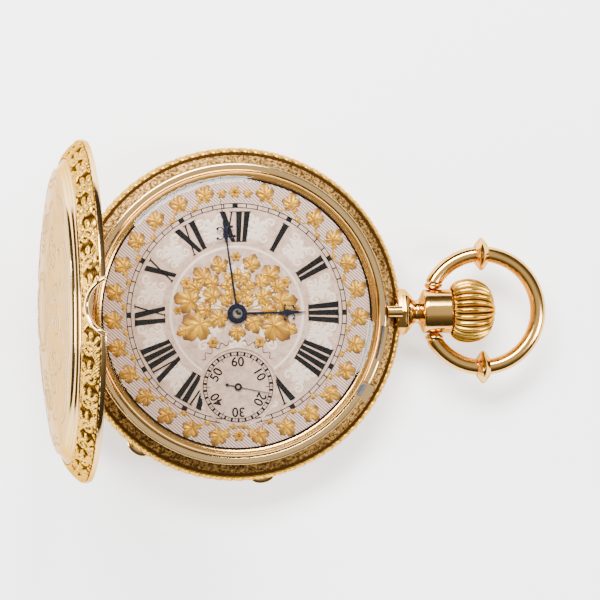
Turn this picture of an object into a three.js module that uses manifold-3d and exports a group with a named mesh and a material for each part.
// A gold hunter-case pocket watch, front cover standing open, lying on its back.
// Millimetres, +Z up out of the dial, +X towards the crown, +Y towards twelve.
// The origin is the middle of the flat on the back cover that the watch rests on.
import * as THREE from 'three';
import { mergeVertices } from 'three/addons/utils/BufferGeometryUtils.js';
import Module from 'manifold-3d';

const wasm = await Module();
wasm.setup();

// ---- driving dimensions ----
const CASE_R = 25;            // outside of the engraved belt
const BELT_Z = [5.4, 8.0];    // belt, bottom and top
const BORE_R = 20.6;          // the hole that holds the movement
const FLANGE_R = [21.5, 22.7];
const FLANGE_TOP = 9.4;
const RIM_GAP = 0.2;          // between each cover's rim and the belt
const COVER_R = 24.7;
const COVER_WALL = 0.55;
const LID_DEPTH = 6.5;
const LID_OPEN = 87;          // degrees that the front cover stands open
const STEM_Z = 6.6;           // height of the pendant, crown and stem axis
const COLLAR_R = 3.5;
const NOTCH_R = 4.1;
const BARREL_R = 3.3;         // straight length of the pendant
const BOW_PIVOT_X = 30.2;
const BOW_X = 37.6;
const BOW_MID_R = 8.575;
const BOW_WIRE_R = 1.175;
const CROWN_R = 4.9;
const HINGE_X = -25.5;
const KNUCKLE_R = 0.7;
const PIN_R = 0.28;
const FRONT_HINGE_Z = 8.35;
const BACK_HINGE_Z = 5.15;
const CUVETTE_HINGE = [-22.5, 4.75];
const PLATE_Z = [6.25, 7.5];
const BRIDGE_Z = [2.2, 3.2];
const MOVEMENT_R = 20.3;
const DIAL_Z = [8.6, 9.0];
const SUBDIAL_Y = -11;
const SUBDIAL_R = 5.8;
const SUBDIAL_DEPTH = 0.12;
const BACKLASH = 0.06;        // added to each gear pair's centre distance

// ---- train layout: [x, y] of each arbor ----
const CENTRE = [0, 0];
const FOURTH = [0, SUBDIAL_Y];
const CENTRE_MODULE = 0.21;
const THIRD_MODULE = 0.19;
const FOURTH_MODULE = 0.16;
const BARREL_MODULE = 0.27;
const WINDING_MODULE = 0.28;
const MOTION_MODULE = 0.16;
const TEETH = {
  barrel: 64, centre: 64, centrePinion: 8, third: 60, thirdPinion: 8,
  fourth: 60, fourthPinion: 8, escape: 15, escapePinion: 6,
  cannon: 12, minute: 36, minutePinion: 10, hour: 40,
  ratchet: 45, crownWheel: 36, windingPinion: 12,
};
const pairDistance = (module, a, b) => module * (a + b) / 2 + BACKLASH;
const polar = (r, degrees) => {
  const a = THREE.MathUtils.degToRad(degrees);
  return [r * Math.cos(a), r * Math.sin(a)];
};
const BARREL = polar(pairDistance(BARREL_MODULE, TEETH.barrel, TEETH.centrePinion), 60);
const WINDING_DISTANCE = pairDistance(WINDING_MODULE, TEETH.crownWheel, TEETH.ratchet);
const CROWN_WHEEL = [BARREL[0] + Math.sqrt(WINDING_DISTANCE ** 2 - BARREL[1] ** 2), 0];
const THIRD = meet(CENTRE, pairDistance(CENTRE_MODULE, TEETH.centre, TEETH.thirdPinion),
  FOURTH, pairDistance(THIRD_MODULE, TEETH.third, TEETH.fourthPinion));
const ESCAPE_REACH = pairDistance(FOURTH_MODULE, TEETH.fourth, TEETH.escapePinion);
const ESCAPE_ANGLE = 199;
const ESCAPE = polar(ESCAPE_REACH, ESCAPE_ANGLE).map((v, i) => v + FOURTH[i]);
const BALANCE = [-10.5, -6];
const BALANCE_R = 6.2;
const PALLET_REACH = 3.5;
const PALLET = alongLine(ESCAPE, BALANCE, PALLET_REACH);
const MINUTE_WHEEL = [-pairDistance(MOTION_MODULE, TEETH.cannon, TEETH.minute), 0];

// The point right of the line a-b that lies da from a and db from b.
function meet(a, da, b, db) {
  const d = Math.hypot(b[0] - a[0], b[1] - a[1]);
  const along = (da * da - db * db + d * d) / (2 * d);
  const across = Math.sqrt(da * da - along * along);
  const u = [(b[0] - a[0]) / d, (b[1] - a[1]) / d];
  return [a[0] + u[0] * along - u[1] * across, a[1] + u[1] * along + u[0] * across];
}

function alongLine(from, to, distance) {
  const d = Math.hypot(to[0] - from[0], to[1] - from[1]);
  return from.map((v, i) => v + (to[i] - v) * distance / d);
}

// ---- finishes ----
const FINISHES = {
  gold: [0xd9ab6a, 0.25, 1], engraved: [0xc9953f, 0.45, 1], steel: [0x9aa0a6, 0.3, 1],
  blued: [0x1c2433, 0.3, 1], brass: [0xc9a45c, 0.35, 1], nickel: [0xbfc1bd, 0.35, 1],
  dial: [0xe9dcd3, 0.55, 0.2], glass: [0xdfe7ea, 0.05, 0], ruby: [0xa3203a, 0.15, 0],
};
const watch = new THREE.Group();
watch.name = 'pocket_watch';

function add(name, geometry, finish, parent = watch) {
  const [color, roughness, metalness] = FINISHES[finish];
  const mesh = new THREE.Mesh(outward(geometry),
    new THREE.MeshStandardMaterial({ color, roughness, metalness }));
  mesh.name = name;
  parent.add(mesh);
  return mesh;
}

// ---- solids ----
function bare(geometry) {
  geometry.deleteAttribute('normal');
  geometry.deleteAttribute('uv');
  const merged = mergeVertices(geometry, 1e-4);
  const index = merged.index.array;
  const kept = [];
  for (let i = 0; i < index.length; i += 3) {
    const [a, b, c] = [index[i], index[i + 1], index[i + 2]];
    if (a !== b && b !== c && a !== c) kept.push(a, b, c);
  }
  merged.setIndex(kept);
  return merged;
}

function volumeOf(geometry) {
  const p = geometry.attributes.position;
  const index = geometry.index.array;
  const [a, b, c] = [new THREE.Vector3(), new THREE.Vector3(), new THREE.Vector3()];
  let sum = 0;
  for (let i = 0; i < index.length; i += 3) {
    a.fromBufferAttribute(p, index[i]);
    b.fromBufferAttribute(p, index[i + 1]);
    c.fromBufferAttribute(p, index[i + 2]);
    sum += a.dot(b.cross(c));
  }
  return sum;
}

function outward(geometry) {
  const solid = bare(geometry);
  if (volumeOf(solid) < 0) {
    const index = Array.from(solid.index.array);
    for (let i = 0; i < index.length; i += 3) {
      [index[i], index[i + 1]] = [index[i + 1], index[i]];
    }
    solid.setIndex(index);
  }
  return solid;
}

function toManifold(geometry) {
  const solid = outward(geometry);
  return new wasm.Manifold(new wasm.Mesh({
    numProp: 3,
    vertProperties: new Float32Array(solid.attributes.position.array),
    triVerts: new Uint32Array(solid.index.array),
  }));
}

function fromManifold(body) {
  const mesh = body.getMesh();
  const geometry = new THREE.BufferGeometry();
  geometry.setAttribute('position', new THREE.BufferAttribute(mesh.vertProperties, 3));
  geometry.setIndex(Array.from(mesh.triVerts));
  return geometry;
}

function cut(geometry, ...tools) {
  let body = toManifold(geometry);
  for (const tool of tools) body = body.subtract(toManifold(tool));
  return fromManifold(body);
}

function join(...geometries) {
  let body = toManifold(geometries[0]);
  for (const other of geometries.slice(1)) body = body.add(toManifold(other));
  return fromManifold(body);
}

const vectors = (points) => points.map(([r, h]) => new THREE.Vector2(r, h));

// A profile of [radius, height] turned about Z.
function turned(points, segments = 48, closed = true) {
  const outline = closed ? [...points, points[0]] : points;
  return new THREE.LatheGeometry(vectors(outline), segments).rotateX(Math.PI / 2);
}

// A profile of [radius, x] turned about the stem's axis.
function turnedOnStem(points, segments = 18, closed = true) {
  const outline = closed ? [...points, points[0]] : points;
  const body = new THREE.LatheGeometry(vectors(outline), segments);
  return body.rotateZ(-Math.PI / 2).translate(0, 0, STEM_Z);
}

function ringAt(inner, outer, z, segments = 28, [x, y] = [0, 0]) {
  const profile = [[inner, z[0]], [outer, z[0]], [outer, z[1]], [inner, z[1]]];
  return turned(profile, segments).translate(x, y, 0);
}

function rodAt(radius, z, [x, y] = [0, 0], segments = 10) {
  const rod = new THREE.CylinderGeometry(radius, radius, z[1] - z[0], segments);
  return rod.rotateX(Math.PI / 2).translate(x, y, (z[0] + z[1]) / 2);
}

function rodAlongY(radius, y, x, z, segments = 8) {
  const rod = new THREE.CylinderGeometry(radius, radius, y[1] - y[0], segments);
  return rod.translate(x, (y[0] + y[1]) / 2, z);
}

function block(x, y, z) {
  const box = new THREE.BoxGeometry(x[1] - x[0], y[1] - y[0], z[1] - z[0]);
  return box.translate((x[0] + x[1]) / 2, (y[0] + y[1]) / 2, (z[0] + z[1]) / 2);
}

function plateOf(shape, z, curveSegments = 12) {
  const options = { depth: z[1] - z[0], bevelEnabled: false, curveSegments };
  return new THREE.ExtrudeGeometry(shape, options).translate(0, 0, z[0]);
}

function hole(shape, [x, y], radius) {
  shape.holes.push(new THREE.Path().absarc(x, y, radius, 0, 2 * Math.PI, true));
}

// A slice of a ring between two angles in degrees.
function sector(radii, angles, z, segments = 16) {
  const [a, b] = angles.map(THREE.MathUtils.degToRad);
  const shape = new THREE.Shape();
  shape.absarc(0, 0, radii[1], a, b, false);
  shape.absarc(0, 0, radii[0], b, a, true);
  shape.closePath();
  return plateOf(shape, z, Math.ceil(segments / 2));
}

// A gear with pointed teeth, a tooth tip on its own +X axis when phase is 0.
function gear(teeth, module, z, bore, { phase = 0, at = [0, 0] } = {}) {
  const pitch = teeth * module / 2;
  const shape = new THREE.Shape();
  for (let i = 0; i < teeth; i += 1) {
    const step = 2 * Math.PI / teeth;
    const tip = i * step + phase;
    const place = i === 0 ? 'moveTo' : 'lineTo';
    shape[place]((pitch + 0.85 * module) * Math.cos(tip), (pitch + 0.85 * module) * Math.sin(tip));
    const root = tip + step / 2;
    shape.lineTo((pitch - 1.05 * module) * Math.cos(root), (pitch - 1.05 * module) * Math.sin(root));
  }
  shape.closePath();
  if (bore > 0) hole(shape, [0, 0], bore);
  return plateOf(shape, z, 5).translate(at[0], at[1], 0);
}

// The phase that puts a gap at the angle where the driver, at `from`, has a tooth tip.
function meshPhase(driverTeeth, driverPhase, teeth, from, to) {
  const direction = Math.atan2(to[1] - from[1], to[0] - from[0]);
  const driverShift = (direction - driverPhase) * driverTeeth;
  return direction + Math.PI + (Math.PI + driverShift) / teeth;
}

// An arbor with a pinion: radius steps of [radius, z].
function arbor(steps, at, segments = 8) {
  const points = [[0, steps[0][1]], ...steps, [0, steps[steps.length - 1][1]]];
  return turned(points, segments, false).translate(at[0], at[1], 0);
}

// A flat spiral strip of constant thickness.
function spiral(inner, outer, turns, thickness, z, stepsPerTurn) {
  const count = Math.round(turns * stepsPerTurn);
  const shape = new THREE.Shape();
  const spot = (i, offset) => {
    const r = inner + (outer - inner) * i / count + offset;
    const a = 2 * Math.PI * turns * i / count;
    return [r * Math.cos(a), r * Math.sin(a)];
  };
  shape.moveTo(...spot(0, 0));
  for (let i = 1; i <= count; i += 1) shape.lineTo(...spot(i, 0));
  for (let i = count; i >= 0; i -= 1) shape.lineTo(...spot(i, thickness));
  shape.closePath();
  return plateOf(shape, z);
}

// ---- case ----
const POCKET_Z = 7.95;        // floor of the slots for the lock spring and lever
const SOCKET_X = 24.05;       // the pendant's collar is let into the belt from here

function caseMiddle() {
  const [z0, z1] = BELT_Z;
  const body = turned([
    [BORE_R, z0], [24.2, z0], [24.75, z0 + 0.3], [CASE_R, (z0 + z1) / 2], [24.75, z1 - 0.3],
    [23.9, z1], [FLANGE_R[1], z1 + 0.4], [FLANGE_R[1], FLANGE_TOP - 0.15],
    [FLANGE_R[1] - 0.15, FLANGE_TOP], [FLANGE_R[0], FLANGE_TOP], [FLANGE_R[0], 8.55],
    [BORE_R, 8.55],
  ], 40);
  const stemHole = new THREE.CylinderGeometry(1.5, 1.5, 6, 16).rotateZ(Math.PI / 2);
  stemHole.translate(22.5, 0, STEM_Z);
  const socket = new THREE.CylinderGeometry(COLLAR_R + 0.12, COLLAR_R + 0.12, 4, 24);
  socket.rotateZ(Math.PI / 2).translate(SOCKET_X + 2, 0, STEM_Z);
  const knuckles = [];
  for (const side of [-1, 1]) {
    const y = side < 0 ? [-6.2, -2.2] : [2.2, 6.2];
    knuckles.push(
      rodAlongY(KNUCKLE_R, y, HINGE_X, FRONT_HINGE_Z),
      block([HINGE_X - 0.3, -23.6], y, [7.0, 7.95]),
      rodAlongY(KNUCKLE_R, y, HINGE_X, BACK_HINGE_Z),
      block([HINGE_X - 0.3, -23.6], y, [5.45, 6.4]),
      rodAlongY(0.5, y, ...CUVETTE_HINGE),
      block([CUVETTE_HINGE[0] - 0.3, CUVETTE_HINGE[0] + 0.3], y, [CUVETTE_HINGE[1], 5.6]),
    );
  }
  const bores = [
    rodAlongY(PIN_R + 0.06, [-7, 7], HINGE_X, FRONT_HINGE_Z),
    rodAlongY(PIN_R + 0.06, [-7, 7], HINGE_X, BACK_HINGE_Z),
    rodAlongY(0.26, [-7, 7], ...CUVETTE_HINGE),
  ];
  const slots = [
    sector([21.85, 23.1], [-19.5, -5.5], [POCKET_Z, 10]),
    sector([21.85, 22.6], [-6.5, -4], [POCKET_Z, 8.95]),
    sector([21.85, 23.3], [-4.5, 4.5], [POCKET_Z, 8.95]),
    sector([20.4, 23.8], [-35.5, -28.5], [POCKET_Z, 10]),
    block([20, 22.5], [-1.6, 1.6], [7.2, 8.3]),
  ];
  return cut(join(body, ...knuckles), stemHole, socket, ...bores, ...slots);
}

// The collar, neck and straight length that the crown and the bow are carried on.
function pendant() {
  const outline = [
    [1.5, 24.15], [COLLAR_R - 0.3, 24.15], [COLLAR_R, 24.45], [COLLAR_R, 26.1],
    [COLLAR_R - 0.3, 26.4], [2.4, 26.6], [1.9, 27.1], [1.95, 27.8], [2.5, 28.3],
    [BARREL_R - 0.1, 28.6], [BARREL_R, 28.9], [BARREL_R, 32.8], [BARREL_R - 0.25, 33.1],
    [1.5, 33.1],
  ];
  const pivotHole = rodAlongY(0.56, [-5, 5], BOW_PIVOT_X, STEM_Z);
  return cut(turnedOnStem(outline), pivotHole);
}

function frontLid() {
  const rim = BELT_Z[1] + RIM_GAP;
  const outer = [
    [24.5, rim], [COVER_R, rim + 0.25], [COVER_R, rim + 0.85], [24.4, rim + 1.05],
    [23.6, rim + 1.9], [22.5, rim + 2.8], [21.7, rim + 3.2], [20.5, rim + 4.4],
    [16, rim + 5.4], [9, rim + LID_DEPTH - 0.3], [0, rim + LID_DEPTH],
  ];
  const inner = [
    [0, rim + LID_DEPTH - COVER_WALL], [9, rim + LID_DEPTH - 0.3 - COVER_WALL],
    [16, rim + 4.85], [20.2, rim + 3.85], [21.3, rim + 2.85], [22.2, rim + 2.3],
    [23.2, rim + 1.45], [23.9, rim + 0.8], [24.0, rim],
  ];
  return hingedCover(turned([...outer, ...inner], 36, true), FRONT_HINGE_Z, [rim + 0.08, rim + 0.6]);
}

function backCover() {
  const rim = BELT_Z[0] - RIM_GAP;
  const outer = [
    [24.5, rim], [COVER_R, rim - 0.3], [COVER_R, rim - 0.9], [23.4, rim - 2.9],
    [22.4, rim - 3.8], [20.6, rim - 4.4], [17, rim - 4.85], [12.5, rim - 5.2], [0, rim - 5.2],
  ];
  const inner = [
    [0, COVER_WALL], [12.3, COVER_WALL], [17, 0.9], [20.2, 1.35], [21.8, 1.9],
    [22.9, 2.8], [24.0, 4.6], [24.0, rim],
  ];
  return hingedCover(turned([...outer, ...inner], 36, true), BACK_HINGE_Z, [rim - 0.6, rim - 0.08]);
}

// A cover, its pendant notch, and its knuckle on a leaf between the case's two knuckles.
function hingedCover(shell, hingeZ, leafZ) {
  const notch = new THREE.CylinderGeometry(NOTCH_R, NOTCH_R, 8, 24).rotateZ(Math.PI / 2);
  notch.translate(24, 0, STEM_Z);
  const leaf = block([HINGE_X - 0.2, -24.1], [-1.9, 1.9], leafZ);
  const knuckle = rodAlongY(KNUCKLE_R, [-1.9, 1.9], HINGE_X, hingeZ);
  const bore = rodAlongY(PIN_R + 0.06, [-3, 3], HINGE_X, hingeZ);
  return cut(join(shell, leaf, knuckle), notch, bore);
}

function cuvette() {
  const outline = [
    [0, 1.1], [16.5, 1.1], [18.2, 1.4], [21.1, 4.5], [21.3, 5.1], [20.9, 5.1],
    [20.7, 4.6], [18.0, 1.85], [16.4, 1.5], [0, 1.5],
  ];
  const [x, z] = CUVETTE_HINGE;
  const leaf = block([x, -20.95], [-1.9, 1.9], [z - 0.2, z + 0.2]);
  const knuckle = rodAlongY(0.5, [-1.9, 1.9], x, z);
  const bore = rodAlongY(0.26, [-3, 3], x, z);
  const reach = new THREE.CylinderGeometry(3, 3, 6, 16).rotateZ(Math.PI / 2);
  reach.translate(21, 0, STEM_Z);
  return cut(join(turned(outline, 28, true), leaf, knuckle), bore, reach);
}

function crystal() {
  const top = [[20.85, 9.9], [19.6, 10.5], [13, 10.95], [6, 11.15], [0, 11.2]];
  const under = [[0, 10.5], [6, 10.45], [13, 10.3], [18.9, 10.05], [19.9, 9.7], [20.85, 9.55]];
  return turned([...top, ...under], 28, true);
}

function glassBezel() {
  const outline = [
    [20.35, 9.1], [21.35, 9.1], [21.35, 9.95], [21.15, 10.05], [20.95, 10.0],
    [20.95, 9.45], [20.35, 9.45],
  ];
  return turned(outline, 32);
}

function crown() {
  const outline = [
    [0.6, 35.2], [3.6, 35.2], [3.6, 32.9], [4.0, 32.9], [4.65, 33.8], [CROWN_R, 35.2],
    [4.75, 36.8], [4.1, 38.2], [2.8, 39.2], [1.2, 39.55], [0, 39.6], [0, 38.0], [0.6, 38.0],
  ];
  return turnedOnStem(outline, 20, true);
}

function bow() {
  const start = Math.acos((BOW_PIVOT_X - BOW_X) / BOW_MID_R);
  const arc = new ArcXY(BOW_X, BOW_MID_R, start, -start);
  const section = new THREE.Shape().absarc(0, 0, BOW_WIRE_R, 0, 2 * Math.PI, false);
  const options = { steps: 24, curveSegments: 4, extrudePath: arc, bevelEnabled: false };
  const wire = new THREE.ExtrudeGeometry(section, options).translate(0, 0, STEM_Z);
  const lensRadius = 1.4;
  const lensFlattening = 0.55;
  const lensY = 4.3;
  const screwTipY = 2.2;
  const screwRadius = 0.5;
  const ends = [];
  for (const side of [-1, 1]) {
    const lens = new THREE.SphereGeometry(lensRadius, 12, 6).scale(1, lensFlattening, 1);
    lens.translate(BOW_PIVOT_X, side * lensY, STEM_Z);
    const y = [screwTipY, lensY].map((v) => v * side).sort((a, b) => a - b);
    ends.push(lens, rodAlongY(screwRadius, y, BOW_PIVOT_X, STEM_Z));
  }
  return join(wire, ...ends);
}

// An arc in the XY plane from one angle to another.
class ArcXY extends THREE.Curve {
  constructor(x, radius, from, to) {
    super();
    Object.assign(this, { x, radius, from, to });
  }

  getPoint(t, target = new THREE.Vector3()) {
    const a = this.from + (this.to - this.from) * t;
    return target.set(this.x + this.radius * Math.cos(a), this.radius * Math.sin(a), 0);
  }
}

function bowCollar(side) {
  const bore = BOW_WIRE_R + 0.12;
  const outline = [[bore, -0.85], [2.0, -0.5], [2.5, 0], [2.0, 0.5], [bore, 0.85]];
  const lens = new THREE.LatheGeometry(vectors([...outline, outline[0]]), 12).rotateZ(-Math.PI / 2);
  return lens.translate(BOW_X, side * BOW_MID_R, STEM_Z);
}

// The leaf in the flange that holds the front cover shut, with its nose at the pendant.
function lockSpring() {
  const leaf = sector([22.15, 22.4], [-18.5, 3.5], [8.1, 8.75], 12);
  const nose = sector([22.3, 23.0], [-3.5, 3.5], [8.1, 8.75], 4);
  return join(leaf, nose);
}

function buildCase() {
  add('case_middle', caseMiddle(), 'engraved');
  add('pendant', pendant(), 'gold');
  add('glass_bezel', glassBezel(), 'gold');
  add('crystal', crystal(), 'glass');
  add('back_cover', backCover(), 'gold');
  add('cuvette', cuvette(), 'gold');
  add('front_hinge_pin', rodAlongY(PIN_R, [-6.4, 6.4], HINGE_X, FRONT_HINGE_Z), 'steel');
  add('back_hinge_pin', rodAlongY(PIN_R, [-6.4, 6.4], HINGE_X, BACK_HINGE_Z), 'steel');
  add('cuvette_hinge_pin', rodAlongY(0.2, [-6.4, 6.4], ...CUVETTE_HINGE), 'steel');
  add('lock_spring', lockSpring(), 'steel');
  add('lift_spring', sector([20.75, 21.3], [150, 178], [8.62, 8.95], 10), 'steel');
  const standing = new THREE.Group();
  standing.position.set(HINGE_X, 0, FRONT_HINGE_Z);
  standing.rotation.y = -THREE.MathUtils.degToRad(LID_OPEN);
  watch.add(standing);
  add('front_lid', frontLid().translate(-HINGE_X, 0, -FRONT_HINGE_Z), 'gold', standing);
}

function buildPendant() {
  add('bow', bow(), 'gold');
  add('bow_collar_upper', bowCollar(1), 'gold');
  add('bow_collar_lower', bowCollar(-1), 'gold');
  const sleeve = [[0.75, 27.0], [1.35, 27.0], [1.35, 34.95], [0.75, 34.95]];
  add('push_sleeve', turnedOnStem(sleeve, 20), 'steel');
  add('crown', crown(), 'gold');
  const stem = [[0, 15.4], [0.5, 15.4], [0.5, 37.8], [0, 37.8]];
  add('winding_stem', turnedOnStem(stem, 8, false), 'steel');
}

// ---- movement ----
function onStemAxis(geometry, x) {
  return geometry.rotateY(Math.PI / 2).translate(x, 0, STEM_Z);
}

function mainPlate() {
  const shape = new THREE.Shape();
  const mouth = Math.asin(2.1 / MOVEMENT_R);
  shape.absarc(0, 0, MOVEMENT_R, mouth, 2 * Math.PI - mouth, false);
  shape.lineTo(13.2, -2.1);
  shape.lineTo(13.2, 2.1);
  shape.closePath();
  const arbors = [FOURTH, THIRD, ESCAPE, BALANCE, BARREL];
  const holes = arbors.map((spot) => rodAt(0.75, [6, 8], spot, 10));
  return cut(plateOf(shape, PLATE_Z, 26), rodAt(0.85, [6, 8], CENTRE, 12), ...holes);
}

// A sector of the movement, with holes for jewels and pillars up to the main plate.
function bridge(radii, angles, z, jewels, pillars, pads = []) {
  const solids = [sector(radii, angles, z, 18)];
  for (const [spot, radius] of pads) solids.push(rodAt(radius, z, spot, 24));
  for (const spot of pillars) solids.push(rodAt(1.1, [z[0], PLATE_Z[0] - 0.05], spot, 12));
  const holes = jewels.map((spot) => rodAt(0.68, [z[0] - 1, z[1] + 1], spot, 10));
  holes.push(rodAt(0.2, [z[0] - 1, z[1] + 1], CENTRE, 8));
  return cut(join(...solids), ...holes);
}

function balanceCock() {
  const foot = [-13.6, 4.2];
  const z = [BRIDGE_Z[0], 2.95];
  const length = Math.hypot(foot[0] - BALANCE[0], foot[1] - BALANCE[1]);
  const turn = Math.atan2(foot[1] - BALANCE[1], foot[0] - BALANCE[0]);
  const shape = new THREE.Shape();
  shape.absarc(0, 0, 2.3, Math.PI / 2, -Math.PI / 2, false);
  shape.lineTo(length, -2.6);
  shape.absarc(length, 0, 2.6, -Math.PI / 2, Math.PI / 2, false);
  shape.closePath();
  const tongue = plateOf(shape, z, 12).rotateZ(turn).translate(BALANCE[0], BALANCE[1], 0);
  const pillar = rodAt(1.8, [z[0], PLATE_Z[0] - 0.05], foot, 16);
  return cut(join(tongue, pillar), rodAt(0.68, [1, 4], BALANCE, 16));
}

function palletBridge() {
  const foot = [-11.2, -13.2];
  const z = [4.0, 4.35];
  const length = Math.hypot(foot[0] - PALLET[0], foot[1] - PALLET[1]);
  const turn = Math.atan2(foot[1] - PALLET[1], foot[0] - PALLET[0]);
  const bar = block([0, length], [-0.8, 0.8], z).rotateZ(turn).translate(PALLET[0], PALLET[1], 0);
  const pillar = rodAt(0.9, [z[0], PLATE_Z[0] - 0.05], foot, 12);
  return join(bar, rodAt(0.9, z, PALLET, 16), pillar);
}

function buildPlates() {
  add('main_plate', mainPlate(), 'nickel');
  add('barrel_bridge', bridge([3.2, 18.2], [-16, 128], BRIDGE_Z, [BARREL, CROWN_WHEEL],
    [polar(17, 118), polar(17.1, 23)]), 'nickel');
  add('train_bridge', bridge([0.1, 17.6], [-120, -19], BRIDGE_Z, [THIRD, FOURTH, ESCAPE],
    [polar(16.4, -24), polar(16.4, -77)], [[CENTRE, 2.7]]), 'nickel');
  add('balance_cock', balanceCock(), 'nickel');
  add('pallet_bridge', palletBridge(), 'nickel');
  const jewelZ = [BRIDGE_Z[0] + 0.1, BRIDGE_Z[1] - 0.15];
  const jewelled = { third: THIRD, fourth: FOURTH, escape: ESCAPE };
  for (const [name, spot] of Object.entries(jewelled)) {
    add(`jewel_${name}`, ringAt(0.18, 0.6, jewelZ, 8, spot), 'ruby');
  }
  add('jewel_balance', ringAt(0.18, 0.6, [2.3, 2.85], 8, BALANCE), 'ruby');
  const screwed = {
    barrel_bridge_a: polar(17, 118), barrel_bridge_b: polar(17.1, 23),
    train_bridge: polar(16.4, -24), cock: [-13.6, 4.2],
  };
  for (const [name, spot] of Object.entries(screwed)) {
    add(`screw_${name}`, rodAt(0.85, [1.85, BRIDGE_Z[0] - 0.03], spot, 12), 'blued');
  }
  add('case_screw_upper', rodAt(0.8, [5.65, 6.2], polar(19.4, 80), 12), 'blued');
  add('case_screw_lower', rodAt(0.8, [5.65, 6.2], polar(19.4, 260), 12), 'blued');
}

// Going train. Every wheel lies in the same plane as the pinion that it drives.
function buildTrain() {
  const barrelPhase = 0;
  const centrePhase = meshPhase(TEETH.barrel, barrelPhase, TEETH.centrePinion, BARREL, CENTRE);
  const wheel = gear(TEETH.barrel, BARREL_MODULE, [5.5, 6.1], 0.8, { at: BARREL });
  add('barrel', join(wheel, ringAt(7.6, 8.0, [4.95, 5.6], 28, BARREL)), 'brass');
  add('barrel_cover', ringAt(0.8, 7.5, [4.82, 4.98], 24, BARREL), 'brass');
  add('mainspring', spiral(1.7, 6.9, 5, 0.3, [5.06, 5.42], 12).translate(...BARREL, 0), 'blued');
  add('barrel_arbor', rodAt(0.6, [2.4, 6.9], BARREL, 12), 'steel');
  const winding = meshPhase(TEETH.crownWheel, 0, TEETH.ratchet, CROWN_WHEEL, BARREL);
  add('ratchet_wheel', gear(TEETH.ratchet, WINDING_MODULE, [3.4, 4.15], 0.72,
    { phase: winding, at: BARREL }), 'steel');
  const crownWheel = gear(TEETH.crownWheel, WINDING_MODULE, [3.4, 4.15], 0.72, { at: CROWN_WHEEL });
  add('crown_wheel', join(crownWheel, ringAt(3.7, 4.6, [4.0, 4.62], 24, CROWN_WHEEL)), 'steel');
  add('crown_wheel_core', join(rodAt(0.6, [1.9, 4.3], CROWN_WHEEL, 12),
    rodAt(1.5, [1.75, 2.12], CROWN_WHEEL, 16)), 'blued');

  const pinionAt = (teeth, module, z, phase, at) => gear(teeth, module, z, 0, { phase, at });
  const centreWheel = gear(TEETH.centre, CENTRE_MODULE, [4.3, 4.65], 0);
  add('centre_wheel', join(centreWheel,
    pinionAt(TEETH.centrePinion, BARREL_MODULE, [5.35, 6.15], centrePhase, CENTRE),
    arbor([[0.13, 2.35], [0.13, 3.25], [0.5, 3.25], [0.5, 9.4]], CENTRE)), 'brass');

  const thirdPhase = meshPhase(TEETH.centre, 0, TEETH.thirdPinion, CENTRE, THIRD);
  const thirdWheel = gear(TEETH.third, THIRD_MODULE, [5.1, 5.4], 0, { at: THIRD });
  add('third_wheel', join(thirdWheel,
    pinionAt(TEETH.thirdPinion, CENTRE_MODULE, [4.2, 4.75], thirdPhase, THIRD),
    arbor([[0.13, 2.35], [0.13, 3.25], [0.3, 3.25], [0.3, 6.9]], THIRD)), 'brass');

  const fourthPhase = meshPhase(TEETH.third, 0, TEETH.fourthPinion, THIRD, FOURTH);
  const fourthWheel = gear(TEETH.fourth, FOURTH_MODULE, [3.75, 4.05], 0, { at: FOURTH });
  add('fourth_wheel', join(fourthWheel,
    pinionAt(TEETH.fourthPinion, THIRD_MODULE, [5.0, 5.5], fourthPhase, FOURTH),
    arbor([[0.13, 2.35], [0.13, 3.25], [0.25, 3.25], [0.25, 9.2]], FOURTH)), 'brass');

  const escapePhase = meshPhase(TEETH.fourth, 0, TEETH.escapePinion, FOURTH, ESCAPE);
  add('escape_wheel', join(escapeWheel(),
    pinionAt(TEETH.escapePinion, FOURTH_MODULE, [3.65, 4.15], escapePhase, ESCAPE),
    arbor([[0.13, 2.35], [0.13, 3.25], [0.2, 3.25], [0.2, 6.9]], ESCAPE)), 'steel');
}

function escapeWheel() {
  const shape = new THREE.Shape();
  const [tip, root, step] = [2.9, 2.2, 2 * Math.PI / TEETH.escape];
  for (let i = 0; i < TEETH.escape; i += 1) {
    const place = i === 0 ? 'moveTo' : 'lineTo';
    shape[place](tip * Math.cos(i * step), tip * Math.sin(i * step));
    shape.lineTo(root * Math.cos((i + 0.2) * step), root * Math.sin((i + 0.2) * step));
    shape.lineTo(root * Math.cos((i + 0.75) * step), root * Math.sin((i + 0.75) * step));
  }
  shape.closePath();
  return plateOf(shape, [4.5, 4.75], 2).translate(...ESCAPE, 0);
}

// The lever: a fork towards the balance and two arms with stones either side of the wheel.
function palletFork() {
  const z = [4.5, 4.75];
  const turn = Math.atan2(BALANCE[1] - ESCAPE[1], BALANCE[0] - ESCAPE[0]);
  const reach = Math.hypot(BALANCE[0] - PALLET[0], BALANCE[1] - PALLET[1]) - 1.25;
  const lever = block([-0.4, reach], [-0.18, 0.18], z);
  const horns = block([reach - 0.5, reach], [-0.5, 0.5], z);
  const arms = [-1, 1].map((side) => {
    const [ax, ay] = polar(3.4, 36 * side);
    const stone = [ax - PALLET_REACH, ay];
    const length = Math.hypot(...stone);
    const arm = block([0, length + 0.12], [-0.2, 0.2], z);
    return arm.rotateZ(Math.atan2(stone[1], stone[0]));
  });
  const staff = rodAt(0.2, [4.45, 6.15], [0, 0], 8);
  return join(lever, horns, ...arms, staff).rotateZ(turn).translate(...PALLET, 0);
}

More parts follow.
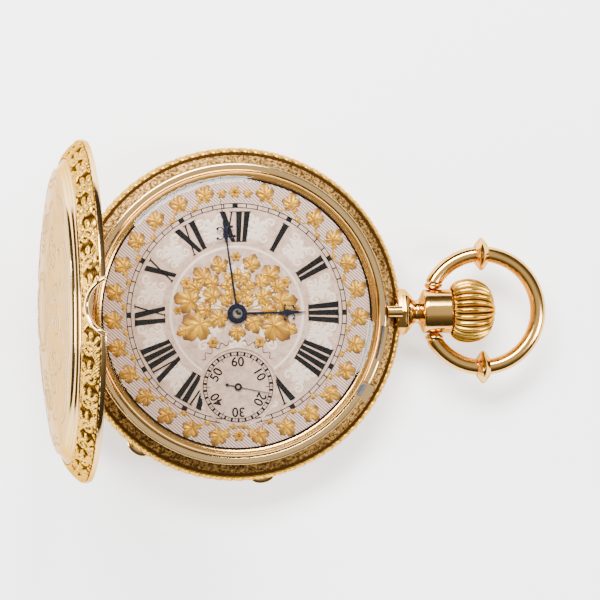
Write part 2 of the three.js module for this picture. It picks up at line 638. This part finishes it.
function balanceWheel() {
  const rim = ringAt(BALANCE_R - 0.55, BALANCE_R, [3.3, 3.8], 24);
  const arms = block([-BALANCE_R + 0.2, BALANCE_R - 0.2], [-0.35, 0.35], [3.4, 3.65]);
  const screws = [];
  for (let i = 0; i < 12; i += 1) {
    const screw = new THREE.CylinderGeometry(0.16, 0.16, 0.5, 4).rotateZ(Math.PI / 2);
    screws.push(screw.translate(BALANCE_R + 0.05, 0, 3.55).rotateZ((i + 0.5) * Math.PI / 6));
  }
  return cut(join(rim, arms, ...screws), rodAt(0.3, [3, 4], CENTRE, 12)).translate(...BALANCE, 0);
}

function buildEscapement() {
  add('pallet_fork', palletFork(), 'steel');
  add('balance_wheel', balanceWheel(), 'brass');
  const roller = rodAt(0.9, [4.0, 4.2], CENTRE, 16);
  const pin = rodAt(0.14, [4.15, 4.42], [-0.6, 0.7], 6);
  add('balance_staff', join(arbor([[0.13, 2.35], [0.13, 2.98], [0.25, 2.98], [0.25, 6.9]], CENTRE),
    roller, pin).translate(...BALANCE, 0), 'steel');
  add('hairspring', spiral(0.5, 2.5, 4, 0.08, [3.05, 3.2], 12).translate(...BALANCE, 0), 'blued');
  const regulator = join(ringAt(0.95, 1.4, [1.95, 2.14], 20), block([1.2, 5.2], [-0.22, 0.22], [1.95, 2.14]));
  add('regulator', regulator.rotateZ(2.35).translate(...BALANCE, 0), 'steel');
}

function buildKeyless() {
  const pinion = gear(TEETH.windingPinion, 0.27, [0, 1.3], 0.72);
  add('winding_pinion', onStemAxis(pinion, CROWN_WHEEL[0] + 3.5), 'steel');
  const clutch = [[0.72, 13.7], [1.35, 13.7], [1.35, 14.3], [1.0, 14.3], [1.0, 14.8], [1.35, 14.8],
    [1.35, 15.6], [0.72, 15.6]];
  add('clutch', turnedOnStem(clutch, 16), 'steel');
  const lever = block([17.5, 22.45], [-0.6, 0.6], [8.1, 8.4]);
  const tab = block([21.95, 22.45], [-0.9, 0.9], [8.1, 9.0]);
  add('setting_lever', join(lever, tab).rotateZ(THREE.MathUtils.degToRad(-32)), 'steel');
  const clickAt = [BARREL[0] - 4.5, BARREL[1] + 7.2];
  const click = join(rodAt(0.8, [3.4, 3.9], clickAt, 12),
    block([0, 1.8], [-0.35, 0.35], [3.4, 3.9]).rotateZ(-1.45).translate(...clickAt, 0));
  add('click', cut(click, rodAt(0.35, [3, 4.2], clickAt, 8)), 'steel');
}

// ---- dial side ----
function buildMotionWork() {
  const cannonZ = [7.65, 8.05];
  const minutePhase = meshPhase(TEETH.cannon, 0, TEETH.minute, CENTRE, MINUTE_WHEEL);
  add('cannon_pinion', join(gear(TEETH.cannon, MOTION_MODULE, cannonZ, 0.54),
    ringAt(0.54, 0.72, [7.65, 9.95], 16)), 'steel');
  const hourModule = 2 * (-MINUTE_WHEEL[0] - BACKLASH) / (TEETH.hour + TEETH.minutePinion);
  const hourPhase = meshPhase(TEETH.minutePinion, 0, TEETH.hour, MINUTE_WHEEL, CENTRE);
  add('minute_wheel', join(
    gear(TEETH.minute, MOTION_MODULE, [7.7, 8.0], 0.25, { phase: minutePhase, at: MINUTE_WHEEL }),
    gear(TEETH.minutePinion, hourModule, [7.9, 8.42], 0.25, { at: MINUTE_WHEEL })), 'brass');
  add('hour_wheel', join(gear(TEETH.hour, hourModule, [8.14, 8.4], 0.78, { phase: hourPhase }),
    ringAt(0.78, 1.0, [8.14, 9.55], 16)), 'brass');
}

function dialPlate() {
  const shape = new THREE.Shape().absarc(0, 0, 20.45, 0, 2 * Math.PI, false);
  hole(shape, CENTRE, 1.1);
  hole(shape, FOURTH, 0.4);
  const recess = rodAt(SUBDIAL_R, [DIAL_Z[1] - SUBDIAL_DEPTH, 10], FOURTH, 24);
  return cut(plateOf(shape, DIAL_Z, 18), recess);
}

// A hand along +X: a tapered blade, an ornament near its end, and a hub with a hole.
function hand(length, ornament, width, hub, bore, z, tail = 0) {
  const shape = new THREE.Shape();
  shape.moveTo(-tail, -width);
  shape.lineTo(hub * 0.5, -width);
  shape.lineTo(ornament - 1.3, -width * 0.6);
  shape.lineTo(ornament, -width * 3.2);
  shape.lineTo(ornament + 1.3, -width * 0.5);
  shape.lineTo(length, -0.05);
  shape.lineTo(length, 0.05);
  shape.lineTo(ornament + 1.3, width * 0.5);
  shape.lineTo(ornament, width * 3.2);
  shape.lineTo(ornament - 1.3, width * 0.6);
  shape.lineTo(hub * 0.5, width);
  shape.lineTo(-tail, width);
  shape.closePath();
  const body = join(plateOf(shape, z), rodAt(hub, z, CENTRE, 20));
  return cut(body, rodAt(bore, [z[0] - 1, z[1] + 1], CENTRE, 16));
}

const HOUR_ANGLE = 0.6;       // degrees from +X, anticlockwise: just before three
const MINUTE_ANGLE = 97.5;    // a little before twelve
const SECOND_ANGLE = -12;     // seventeen seconds

function buildHands() {
  add('hour_hand', hand(10.45, 7.9, 0.27, 1.5, 1.03, [9.3, 9.48])
    .rotateZ(THREE.MathUtils.degToRad(HOUR_ANGLE)), 'blued');
  add('minute_hand', hand(17.25, 12.3, 0.25, 1.2, 0.75, [9.7, 9.88])
    .rotateZ(THREE.MathUtils.degToRad(MINUTE_ANGLE)), 'blued');
  const seconds = hand(4.9, 2.6, 0.08, 0.55, 0.28, [9.06, 9.18], 1.7);
  add('seconds_hand', seconds.rotateZ(THREE.MathUtils.degToRad(SECOND_ANGLE))
    .translate(...FOURTH, 0), 'blued');
}

buildCase();
buildPendant();
buildPlates();
buildTrain();
buildEscapement();
buildKeyless();
buildMotionWork();
add('dial', dialPlate(), 'dial');
buildHands();

export default watch;
